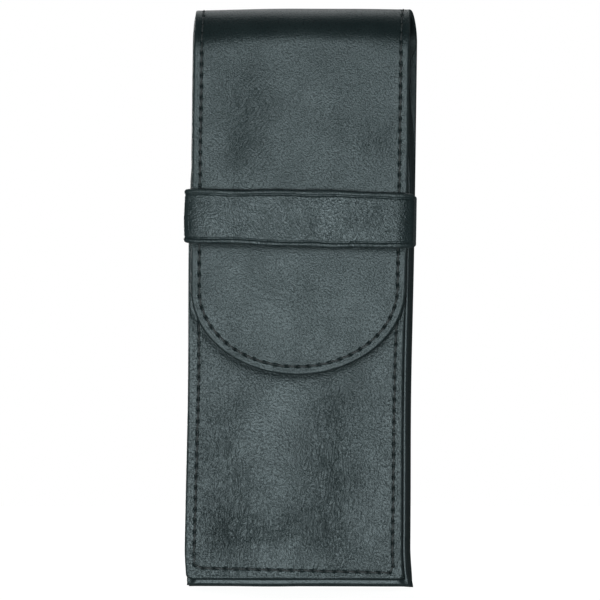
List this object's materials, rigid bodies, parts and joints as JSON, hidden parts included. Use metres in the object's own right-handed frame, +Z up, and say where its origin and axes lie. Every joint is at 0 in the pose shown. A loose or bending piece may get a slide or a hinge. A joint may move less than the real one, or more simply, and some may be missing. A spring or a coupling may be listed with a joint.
{
  "type": "leather pen case",
  "caption": "Slim gusseted leather pocket whose flap folds over the top and tucks its rounded tongue under a fixed cross band.",
  "frame": {"origin": "middle of the outline's underside, where the case stands on its bottom edge", "axes": "+Z up the height towards the fold, -Y out of the front with the band, +X to the right seen from the front"},
  "size_m": [0.0624, 0.0208, 0.155],
  "materials": {
    "shell_leather": "black pebbled calf, semi-matt",
    "gusset_leather": "thin black calf, semi-matt",
    "lining_leather": "smooth black lining leather, matt",
    "thread": "black polyester sewing thread",
    "card": "grey stiffening board"
  },
  "bodies": {
    "root": {"back_skin": "shell_leather", "back_card": "card", "back_lining": "lining_leather", "back_thread": "thread", "gusset": "gusset_leather", "front_skin": "shell_leather", "front_card": "card", "front_lining": "lining_leather", "front_thread": "thread", "mouth_thread": "thread", "divider_left": "lining_leather", "divider_right": "lining_leather", "band_skin": "shell_leather", "band_lining": "lining_leather"},
    "crown_rear": {"crown_rear_skin": "shell_leather", "crown_rear_lining": "lining_leather", "crown_rear_thread": "thread"},
    "crown_top": {"crown_top_skin": "shell_leather", "crown_top_lining": "lining_leather", "crown_top_thread": "thread"},
    "crown_front": {"crown_front_skin": "shell_leather", "crown_front_lining": "lining_leather", "crown_front_thread": "thread"},
    "flap": {"flap_skin": "shell_leather", "flap_card": "card", "flap_lining": "lining_leather", "flap_thread": "thread", "tongue_skin": "shell_leather", "tongue_lining": "lining_leather", "tongue_card": "card", "tongue_thread": "thread"}
  },
  "joints": [
    {"name": "fold_rear", "type": "hinge", "parent": "root", "child": "crown_rear", "pos_m": [0, 0.00973, 0.14913], "axis": [-1, 0, 0], "range_deg": [0, 45], "deforming": ["tongue_skin", "tongue_lining", "tongue_card", "tongue_thread"]},
    {"name": "fold_top_rear", "type": "hinge", "parent": "crown_rear", "child": "crown_top", "pos_m": [0, 0.00458, 0.15428], "axis": [-1, 0, 0], "range_deg": [0, 45]},
    {"name": "fold_top_front", "type": "hinge", "parent": "crown_top", "child": "crown_front", "pos_m": [0, -0.00268, 0.15428], "axis": [-1, 0, 0], "range_deg": [0, 45]},
    {"name": "fold_front", "type": "hinge", "parent": "crown_front", "child": "flap", "pos_m": [0, -0.00783, 0.14913], "axis": [-1, 0, 0], "range_deg": [0, 45]}
  ],
  "couplings": [
    {"joint": "fold_top_rear", "follows": "fold_rear", "ratio": 1},
    {"joint": "fold_top_front", "follows": "fold_rear", "ratio": 1},
    {"joint": "fold_front", "follows": "fold_rear", "ratio": 1}
  ]
}
